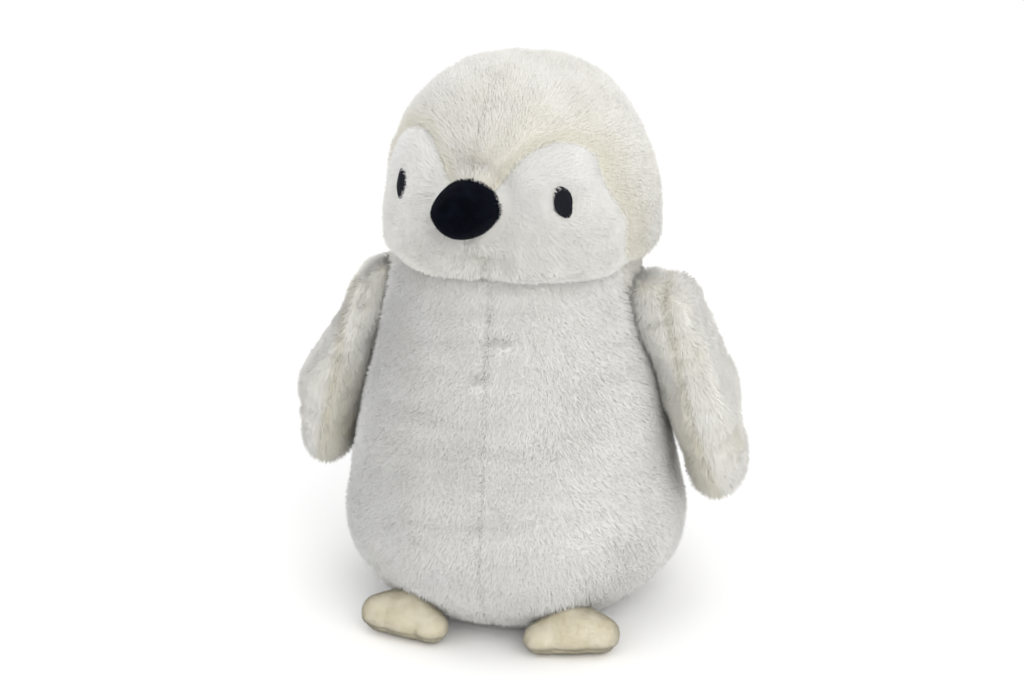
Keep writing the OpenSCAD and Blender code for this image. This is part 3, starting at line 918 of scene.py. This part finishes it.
def satin_tree():
    """Geometry nodes that lay slanting satin stitches side by side over an oval."""
    tree, given = node_group("satin_stitch", {
        "Pad": "Geometry", "Width": "Float", "Height": "Float", "Thread": "Float",
        "Slant": "Float", "Rise": "Float", "Material": "Material",
    }, "Stitches")

    def calc(operation, first, second=0.0):
        return add(tree, "ShaderNodeMath", {0: first, 1: second}, operation=operation).outputs[0]

    pitch = calc("MULTIPLY", given["Thread"], 0.82)
    count = calc("FLOOR", calc("DIVIDE", given["Height"], pitch))
    step = add(tree, "ShaderNodeCombineXYZ", {"Y": pitch}).outputs[0]
    start = add(tree, "ShaderNodeCombineXYZ", {"Y": calc("MULTIPLY", given["Height"], -0.48)}).outputs[0]
    row = add(tree, "GeometryNodeMeshLine", {
        "Count": count, "Start Location": start, "Offset": step,
    }, mode="OFFSET")
    point = add(tree, "GeometryNodeInputPosition").outputs[0]
    up = add(tree, "ShaderNodeSeparateXYZ", {0: point}).outputs["Y"]
    share = calc("DIVIDE", up, calc("MULTIPLY", given["Height"], 0.5))
    chord = calc("SQRT", calc("MAXIMUM", calc("SUBTRACT", 1.0, calc("MULTIPLY", share, share)), 0.03))
    uneven = add(tree, "FunctionNodeRandomValue", {
        2: 0.95, 3: 1.05, "Seed": 7,
    }, data_type="FLOAT").outputs[1]
    size = add(tree, "ShaderNodeCombineXYZ", {
        "X": calc("MULTIPLY", calc("MULTIPLY", chord, given["Width"]), uneven), "Y": 1.0, "Z": chord,
    }).outputs[0]
    turn = add(tree, "FunctionNodeEulerToRotation", {
        0: add(tree, "ShaderNodeCombineXYZ", {"Z": given["Slant"]}).outputs[0],
    }).outputs[0]
    middle = add(tree, "ShaderNodeCombineXYZ", {"Z": calc("MULTIPLY", given["Rise"], 2.0)}).outputs[0]
    arc = add(tree, "GeometryNodeCurveQuadraticBezier", {
        "Resolution": 6, "Start": (-0.5, 0, 0), "Middle": middle, "End": (0.5, 0, 0),
    })
    ring = add(tree, "GeometryNodeCurvePrimitiveCircle", {
        "Resolution": 6, "Radius": calc("MULTIPLY", given["Thread"], 0.5),
    }, mode="RADIUS")
    tube = add(tree, "GeometryNodeCurveToMesh", {
        "Curve": arc.outputs[0], "Profile Curve": ring.outputs[0], "Fill Caps": True,
    })
    laid = add(tree, "GeometryNodeInstanceOnPoints", {
        "Points": row.outputs[0], "Instance": tube.outputs[0], "Rotation": turn, "Scale": size,
    })
    return end_group(tree, laid.outputs[0], given["Pad"], given["Material"], "Stitches")


satin_stitch = satin_tree()


def make_eye(side, name):
    """An oval of satin stitch over a low pad, sunk into the pile."""
    bm = bmesh.new()
    bmesh.ops.create_uvsphere(bm, u_segments=32, v_segments=12, radius=1)
    bmesh.ops.scale(bm, vec=(eye_w * 0.46, eye_h * 0.47, 1.1), verts=bm.verts)
    holder = new_object(name + "_floss", mesh_from(bm, name))
    modifier = holder.modifiers.new("Satin", "NODES")
    modifier.node_group = satin_stitch
    set_inputs(modifier, {
        "Width": eye_w * MM, "Height": eye_h * MM, "Thread": 0.5 * MM,
        "Slant": math.radians(-34), "Rise": 1.3 * MM, "Material": navy_floss,
    })
    stitched = evaluated_mesh(holder)
    holder.modifiers.clear()
    holder.data = smooth_shading(stitched)
    centre = eye_centre(side)
    step = 0.5
    above, below = crown_radius(np.array([eye_z + step, eye_z - step]))
    slope = float(above - below) / (2 * step)
    outward = Vector((math.sin(eye_angle) * side, -math.cos(eye_angle), -slope)).normalized()
    upward = (Vector((0, 0, 1)) - outward * outward.z).normalized()
    sideways = upward.cross(outward)
    turn = Matrix((sideways, upward, outward)).transposed().to_4x4()
    place = Matrix.Translation(Vector(centre) * MM - outward * 1.9 * MM)
    stitched.transform(head_place @ place @ turn)
    lay_map(stitched)
    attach(holder, "head")
    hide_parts(name)


# ---- Stuffed limbs --------------------------------------------------------

def hull_of_spheres(balls, inset):
    """The convex skin round balls, each (x, y, z, radius) in millimetres, as a mesh in metres."""
    bm = bmesh.new()
    for x, y, z, r in balls:
        place = Matrix.Translation((x, y, z))
        bmesh.ops.create_icosphere(bm, subdivisions=3, radius=max(r - inset, 0.8), matrix=place)
    found = bmesh.ops.convex_hull(bm, input=bm.verts)
    loose = found["geom_interior"] + found["geom_unused"]
    spare = [g for g in loose if isinstance(g, bmesh.types.BMVert)]
    bmesh.ops.delete(bm, geom=list(set(spare)), context="VERTS")
    bmesh.ops.recalc_face_normals(bm, faces=bm.faces)
    return mesh_from(bm, "form")


def remeshed(mesh, voxel_mm):
    holder = new_object("remesh_work", mesh)
    voxels = holder.modifiers.new("Voxels", "REMESH")
    voxels.mode = "VOXEL"
    voxels.voxel_size = voxel_mm * MM
    ease = holder.modifiers.new("Ease", "SMOOTH")
    ease.iterations = 6
    even = evaluated_mesh(holder)
    bpy.data.objects.remove(holder)
    return even


def stuffed(mesh, cap_mm, pressure=4.0, frames=20):
    """Cloth simulation: the closed form is blown up from inside, and no point moves past the cap."""
    start = positions(mesh)
    holder = new_object("stuffing_work", mesh)
    cloth = holder.modifiers.new("Cloth", "CLOTH")
    cloth.settings.use_pressure = True
    cloth.settings.uniform_pressure_force = pressure
    cloth.settings.effector_weights.gravity = 0
    cloth.point_cache.frame_start = 1
    cloth.point_cache.frame_end = frames
    for step in range(1, frames + 1):
        scene.frame_set(step)
    swollen = evaluated_mesh(holder)
    bpy.data.objects.remove(holder)
    scene.frame_set(1)
    move = positions(swollen) - start
    move -= move.mean(0)
    length = np.linalg.norm(move, axis=1, keepdims=True)
    move *= np.minimum(1, cap_mm / np.maximum(length, 1e-6))
    put_positions(swollen, start + move)
    return swollen


def finer(mesh, levels=1):
    holder = new_object("finer_work", mesh)
    smoother = holder.modifiers.new("Smoother", "SUBSURF")
    smoother.levels = smoother.render_levels = levels
    fine = evaluated_mesh(holder)
    bpy.data.objects.remove(holder)
    return fine


def as_bmesh_mm(mesh):
    bm = bmesh.new()
    bm.from_mesh(mesh)
    bmesh.ops.scale(bm, vec=(1 / MM, 1 / MM, 1 / MM), verts=bm.verts)
    bm.normal_update()
    return bm


def fill_piece(name, bm, depth, body, nodes):
    """The fibre fill of a limb: its form drawn in by the skin's thickness."""
    copy = bm.copy()
    copy.normal_update()
    for vert in copy.verts:
        vert.co -= vert.normal * depth
    mesh = mesh_from(copy, name)
    piece = new_object(name, smooth_shading(mesh))
    mesh.materials.append(fill)
    return finished(piece, body, nodes)


def finished(piece, body, nodes):
    """Rides a body and stands for its nodes, which are hidden."""
    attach(piece, body)
    if nodes:
        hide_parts(*nodes)
    return piece


# ---- Wings ----------------------------------------------------------------

wing_seam_x = 0.6
# The middle of the tucks in the wing's lower front edge.
tuck_y, tuck_z = -10, -74
wing_balls = [(1, y, -4, 10) for y in (-12, 12)]
wing_balls += [(-10, y, 7, 7) for y in (-9, 9)]
wing_balls += [(4, y, -56, 13) for y in (-15, 15)]
wing_balls += [(0, y, -90, 12) for y in (-9, 9)]


def flatten_shoulder(bm, flatness, stretch):
    """Presses the wing's shoulder flat against the body, and stretches or shortens the wing."""
    inner_x = -12
    for vert in bm.verts:
        share = float(ramp(np.array(vert.co.z), -60, -8))
        vert.co.x = inner_x + (vert.co.x - inner_x) * (1 - flatness * share)
        vert.co.z *= stretch


def wing_relief(points):
    """The edge seam drawn in, and the tucks where the lower front edge is gathered."""
    x, y, z = points.T
    relief = -1.0 * near(x - wing_seam_x, 2.2) - 1.6 * ramp(-x, 0, 6) * ramp(-z, 10, 24)
    tuck = np.hypot(y - tuck_y, z - tuck_z)
    angle = np.arctan2(z - tuck_z, y - tuck_y)
    relief -= 1.3 * near(tuck - 6, 6) * (0.5 + 0.5 * np.cos(5 * angle)) * (x > -4)
    relief += 0.8 * lumps(points, 26, 71) + 0.4 * lumps(points, 12, 72)
    return np.maximum(relief, -2.6)


def wing_comb(points, normals):
    x, y, z = points.T
    count = len(x)
    direction = np.column_stack([np.zeros(count), 0.15 * np.ones(count), -np.ones(count)])
    direction[:, 1] += 0.35 * lumps(points, 24, 73)
    rise = 52 + 10 * lumps(points, 9, 74) + 7 * lumps(points, (30, 12, 6), 75)
    rise = rise + 12 * near(z + 102, 14)
    # Painted shade along the edge seam, over the lower inner panel that faces the body, and in the tucks.
    painted_shade = 0.5 * near(x - wing_seam_x, 1.6) + 0.45 * (x < 0) * ramp(-z, 20, 60)
    tuck = np.hypot(y - tuck_y, z - tuck_z)
    painted_shade = painted_shade + 0.5 * near(tuck - 5, 5) * (0.5 + 0.5 * lumps(points, 7, 76))
    return direction, np.clip(rise, 20, 76), np.ones(count), np.clip(painted_shade, 0, 1)


def make_wings():
    form = finer(stuffed(remeshed(hull_of_spheres(wing_balls, 0.6), 4.0), 1.8))
    bm = as_bmesh_mm(form)
    move_along_normals(bm, wing_relief)
    for seed, side in enumerate(("left", "right")):
        hand = 1 if side == "left" else -1
        hang = Matrix.Translation(pivots[side + "_wing"] * MM)
        hang = hang @ Matrix.Rotation(-hand * wing_hang[side], 4, "Y")
        halves = bm.copy()
        flatten_shoulder(halves, wing_flatness[side], wing_stretch[side])
        wing = side + "_wing"
        core = fill_piece(wing + "_fill", halves, 1.6, wing, [wing + "_stuffing"])
        cut_at_zero(halves, lambda p: p[:, 0] - wing_seam_x)
        for panel, facing in (("outer", 1), ("inner", -1)):
            mesh = part_where(halves, lambda c: (c[:, 0] - wing_seam_x) * facing > 0)
            name = wing + "_" + panel
            if hand < 0:
                mirror(mesh)
            piece = fur_piece(name + "_fur", backed(mesh, 1.0), ivory_fur, handed(wing_comb, hand), {
                "strands": 22000, "length": 5.2, "thickness": 0.55, "unevenness": 0.26,
                "seed": 400 + 10 * seed + facing, "softness": 0.88,
            })
            piece.data.transform(hang)
            finished(piece, wing, [name])
        halves.free()
        if hand < 0:
            mirror(core.data)
        core.data.transform(hang)
    bm.free()


def mirror(mesh):
    """Turns a left-hand mesh into a right-hand one, with its faces still outwards."""
    mesh.transform(Matrix.Scale(-1, 4, Vector((1, 0, 0))))
    mesh.flip_normals()


def handed(comb, hand):
    """The combing of a left-hand piece, for the left hand (1) or the right hand (-1)."""
    flip = np.array([hand, 1, 1])

    def comb_of_hand(points, normals):
        direction, rise, reach, painted_shade = comb(points * flip, normals * flip)
        return direction * flip, rise, reach, painted_shade
    return comb_of_hand


# ---- Feet -----------------------------------------------------------------

# From the middle toe back to the heel, the sole seam's height, and the clefts beside the middle toe.
heel_back = 17
foot_seam_z = 4.6
cleft_across = 8.2


def foot_frame(points):
    """How far each point lies across and forward in the left foot's own frame."""
    hinge = pivots["left_foot"]
    toe_y = hinge.y - heel_back
    dx, dy = points[:, 0] - hinge.x, points[:, 1] - toe_y
    across = dx * math.cos(foot_turn) + dy * math.sin(foot_turn)
    forward = dx * math.sin(foot_turn) - dy * math.cos(foot_turn)
    return across, forward


def foot_relief(points):
    """Three soft toes, and the seam round the sole drawn in."""
    across, forward = foot_frame(points)
    z = points[:, 2]
    clefts = near(across + cleft_across, 2.4) + near(across - cleft_across, 2.4)
    relief = -0.6 * clefts * ramp(forward, -2, 7)
    relief -= 0.8 * near(z - foot_seam_z, 1.3) * ramp(forward, -14, -4)
    relief += 0.2 * lumps(points, 18, 81)
    return np.maximum(relief, -2.4)


def foot_comb(points, normals):
    across, forward = foot_frame(points)
    direction = np.tile([math.sin(foot_turn), -math.cos(foot_turn), -0.3], (len(points), 1))
    rise = 42 + 10 * lumps(points, 5, 82)
    # Painted shade along the sole seam and in the clefts between the toes.
    clefts = near(np.abs(across) - cleft_across, 1.4) * ramp(forward, 0, 7)
    painted_shade = 0.8 * near(points[:, 2] - foot_seam_z, 0.8) + 0.2 * clefts
    return direction, rise, np.ones(len(points)), np.clip(painted_shade, 0, 1)


def make_feet():
    hinge = pivots["left_foot"]
    toe_y = hinge.y - heel_back
    balls = [(hinge.x, hinge.y, 3.5, 4)]
    for toe, r in ((-1, 8), (0, 9.6), (1, 9.4)):
        step = toe * toe_step
        x = hinge.x + step * math.cos(foot_turn)
        balls.append((x, toe_y + 1.5 + step * math.sin(foot_turn), r + 0.3, r))
    for step, back, high, r in ((0, 8, 14.5, 9.5), (9, 6, 12, 9), (-8, 6, 11, 8)):
        x = hinge.x + step * math.cos(foot_turn) - back * math.sin(foot_turn)
        y = toe_y + step * math.sin(foot_turn) + back * math.cos(foot_turn)
        balls.append((x, y, high, r))
    form = finer(stuffed(remeshed(hull_of_spheres(balls, 0.3), 2.5), 0.9))
    bm = as_bmesh_mm(form)
    move_along_normals(bm, foot_relief)
    lowest = min(v.co.z for v in bm.verts)
    for vert in bm.verts:
        vert.co.z = max(vert.co.z - lowest + 0.3, 0.9)
    for seed, side in enumerate(("left", "right")):
        hand = 1 if side == "left" else -1
        halves = bm.copy()
        cut_at_zero(halves, lambda p: p[:, 2] - foot_seam_z)
        for panel, facing, strands in (("top", 1, 14000), ("sole", -1, 6000)):
            mesh = part_where(halves, lambda c: (c[:, 2] - foot_seam_z) * facing > 0)
            name = side + "_foot_" + panel
            if hand < 0:
                mirror(mesh)
            comb = handed(foot_comb, hand)
            piece = fur_piece(name + "_cloth", backed(mesh, 0.8), cream_velboa, comb, {
                "strands": strands, "length": 1.0, "thickness": 0.3, "unevenness": 0.35,
                "seed": 500 + 10 * seed + facing, "softness": 0.96,
            })
            keep_off_floor(piece.data)
            finished(piece, side + "_foot", [name])
        halves.free()
        core = fill_piece(side + "_foot_fill", bm, 1.2, side + "_foot", [side + "_foot_stuffing"])
        if hand < 0:
            mirror(core.data)
    bm.free()


# ---- Tail -----------------------------------------------------------------

def tail_comb(points, normals):
    direction = np.tile([0.0, 1.0, -0.35], (len(points), 1))
    rise = 24 + 8 * lumps(points, 8, 91)
    # Painted shade along the seam.
    painted_shade = 0.5 * near(points[:, 2] - pivots["tail"].z, 1.2)
    return direction, rise, np.ones(len(points)), painted_shade


def make_tail():
    root = pivots["tail"]
    balls = [(side * 10, root.y - 3.5, root.z + 1, 7.5) for side in (-1, 1)]
    balls.append((0, root.y + 14, root.z - 3, 6))
    form = finer(stuffed(remeshed(hull_of_spheres(balls, 0.8), 2.5), 1.2))
    bm = as_bmesh_mm(form)
    fill_piece("tail_fill", bm, 1.4, "tail", ["tail_stuffing"])
    cut_at_zero(bm, lambda p: p[:, 2] - root.z)
    for panel, facing in (("top", 1), ("under", -1)):
        mesh = part_where(bm, lambda c: (c[:, 2] - root.z) * facing > 0)
        piece = fur_piece("tail_" + panel + "_fur", backed(mesh, 0.8), ivory_fur, tail_comb, {
            "strands": 3500, "length": 6.5, "thickness": 0.45, "unevenness": 0.18,
            "seed": 600 + facing, "softness": 0.7,
        })
        finished(piece, "tail", ["tail_" + panel])
    bm.free()


# ---- Fill, base and hidden pieces -----------------------------------------

def make_fill():
    """The fibre fill of torso and head, just inside their skins."""
    torso = drawn_in(evenly(torso_profile(), 300), fill_depth)
    floor = [(0.01, base_t + 0.4), (base_r - 6, base_t + 0.4)]
    torso = evenly(np.vstack([floor, torso[torso[:, 1] > 9]]), 60)
    top = [(r, rock_z + math.sqrt((dome_r - 0.6) ** 2 - r ** 2)) for r in np.linspace(38, 0.01, 16)]
    bm = turned(np.vstack([torso, top]), 96)
    close_and_fill("torso_fill", bm, "torso", ["torso_stuffing"], None)
    lining = []
    for a in np.linspace(0.01, math.radians(60), 24):
        lining.append(((cup_r + 2.4) * math.sin(a), rock_z + (cup_r + 2.4) * math.cos(a)))
    heights = np.linspace(193, crown_top, 400)
    outside = drawn_in(evenly(np.column_stack([crown_radius(heights), heights]), 200), 7.9)
    outside = outside[outside[:, 1] > 192]
    outside[-1, 0] = 0
    bm = turned(np.vstack([lining, evenly(outside, 50)]), 96)
    close_and_fill("head_fill", bm, "head", ["head_stuffing"], head_place)


def close_and_fill(name, bm, body, nodes, place):
    bmesh.ops.holes_fill(bm, edges=[e for e in bm.edges if e.is_boundary])
    bmesh.ops.recalc_face_normals(bm, faces=bm.faces)
    move_along_normals(bm, lambda p: 0.5 * lumps(p, 16, 95) - 0.3)
    piece = fill_piece(name, bm, 0.0, body, nodes)
    if place is not None:
        piece.data.transform(place)
    bm.free()


def make_base():
    """The flat base panel, with its edge seam rolled under."""
    edge = base_r - 0.6
    under = [(0.02, 0.5), (edge - 4, 0.5), (edge - 1.6, 0.7), (edge - 0.4, 1.4)]
    roll = [under[-1], (edge, 2.2), (edge - 0.6, 3.0), (edge - 2, 3.4)]
    over = [roll[-1], (0.02, 3.4)]
    profile = np.vstack([evenly(under, 16), evenly(roll, 8)[1:], evenly(over, 12)[1:]])
    bm = turned(profile, 120)
    bmesh.ops.holes_fill(bm, edges=[e for e in bm.edges if e.is_boundary])
    bmesh.ops.recalc_face_normals(bm, faces=bm.faces)
    mesh = mesh_from(bm, "base_cloth")
    mesh.materials.append(cream_velboa)
    finished(new_object("base_cloth", smooth_shading(mesh)), "torso", ["base_panel"])


def make_neck_thread():
    """The doubled thread that gathers the neck, deep in the pile: two strands twisted together."""
    ring_r, ring_z = 57.4, 187.2
    turns, around, strand_r = 90, 720, 0.32
    bm = bmesh.new()
    for strand in (0, 1):
        rings = []
        for i in range(around):
            a = 2 * math.pi * i / around
            twist = turns * a + math.pi * strand
            centre_r = ring_r + 0.3 * math.cos(twist)
            centre_z = ring_z + 0.3 * math.sin(twist)
            ring = []
            for k in range(6):
                b = 2 * math.pi * k / 6
                r = centre_r + strand_r * math.cos(b)
                z = centre_z + strand_r * math.sin(b)
                ring.append(bm.verts.new((r * math.cos(a), r * math.sin(a), z)))
            rings.append(ring)
        for i in range(around):
            low, high = rings[i], rings[(i + 1) % around]
            for k in range(6):
                bm.faces.new((low[k], high[k], high[(k + 1) % 6], low[(k + 1) % 6]))
    bmesh.ops.recalc_face_normals(bm, faces=bm.faces)
    mesh = mesh_from(bm, "neck_gather_thread")
    mesh.materials.append(thread)
    piece = new_object("neck_gather_thread", smooth_shading(mesh))
    finished(piece, "neck", ["neck_thread"])


def dress_cad_nodes():
    """The pieces that stay as designed, inside the toy, take their real finish."""
    dressed = {
        "pellet_bag": cotton, "left_eye_backing": cotton, "right_eye_backing": cotton,
        "closing_thread": thread, "left_shoulder_tack": thread,
        "right_shoulder_tack": thread, "pellets": pellet,
    }
    for node, finish in dressed.items():
        for place in frame["nodes"][node].material_slots:
            place.material = finish


# ---- Stage ----------------------------------------------------------------

def make_stage():
    bm = bmesh.new()
    bmesh.ops.create_grid(bm, x_segments=1, y_segments=1, size=6)
    mesh = bpy.data.meshes.new("floor")
    bm.to_mesh(mesh)
    bm.free()
    floor = new_object("floor", mesh)
    finish, tree, place, shader = material("matt_white_card", {
        "Roughness": 0.9, "Specular IOR Level": 0.1,
    })
    cloudy = noise(tree, place, 300, detail=1)
    tree.links.new(blended(tree, cloudy, "#fbfbfb", "#f8f8f8"), shader.inputs["Base Color"])
    mesh.materials.append(finish)
    return floor


def area_light(name, place, size, power, colour):
    data = bpy.data.lights.new(name, "AREA")
    data.shape = "DISK"
    data.size = size
    data.energy = power
    data.color = linear(colour)[:3]
    lamp = bpy.data.objects.new(name, data)
    scene.collection.objects.link(lamp)
    lamp.location = place
    aim = Vector((0, 0, 0.13)) - lamp.location
    lamp.rotation_euler = aim.to_track_quat("-Z", "Y").to_euler()


def make_lights():
    world = bpy.data.worlds.new("studio")
    world.use_nodes = True
    scene.world = world
    sky = world.node_tree.nodes.get("Background")
    sky.inputs["Color"].default_value = linear("#ffffff")
    sky.inputs["Strength"].default_value = 0.98
    area_light("key_softbox", (0.85, -1.15, 1.0), 1.8, 14, "#fffefa")
    area_light("top_softbox", (-0.1, 0.2, 1.7), 1.6, 3.5, "#ffffff")
    area_light("fill_softbox", (-1.1, -1.1, 0.7), 1.2, 1.6, "#f8faff")


def make_camera():
    azimuth, elevation = math.radians(12), math.radians(20)
    distance = 1.0
    target = Vector((0, 0, 0.140))
    back = Vector((
        math.sin(azimuth) * math.cos(elevation), -math.cos(azimuth) * math.cos(elevation),
        math.sin(elevation),
    ))
    data = bpy.data.cameras.new("camera")
    data.sensor_width = 36
    data.lens = 71.0
    data.shift_x = -0.0039
    data.shift_y = -0.0111
    camera = bpy.data.objects.new("camera", data)
    scene.collection.objects.link(camera)
    camera.location = target + back * distance
    camera.rotation_euler = (-back).to_track_quat("-Z", "Y").to_euler()
    scene.camera = camera


scene.view_settings.view_transform = "Standard"
make_camera()
make_lights()
make_stage()
make_torso()
make_head()
make_beak()
make_eye(1, "left_eye")
make_eye(-1, "right_eye")
make_wings()
make_feet()
make_tail()
make_fill()
make_base()
make_neck_thread()
dress_cad_nodes()
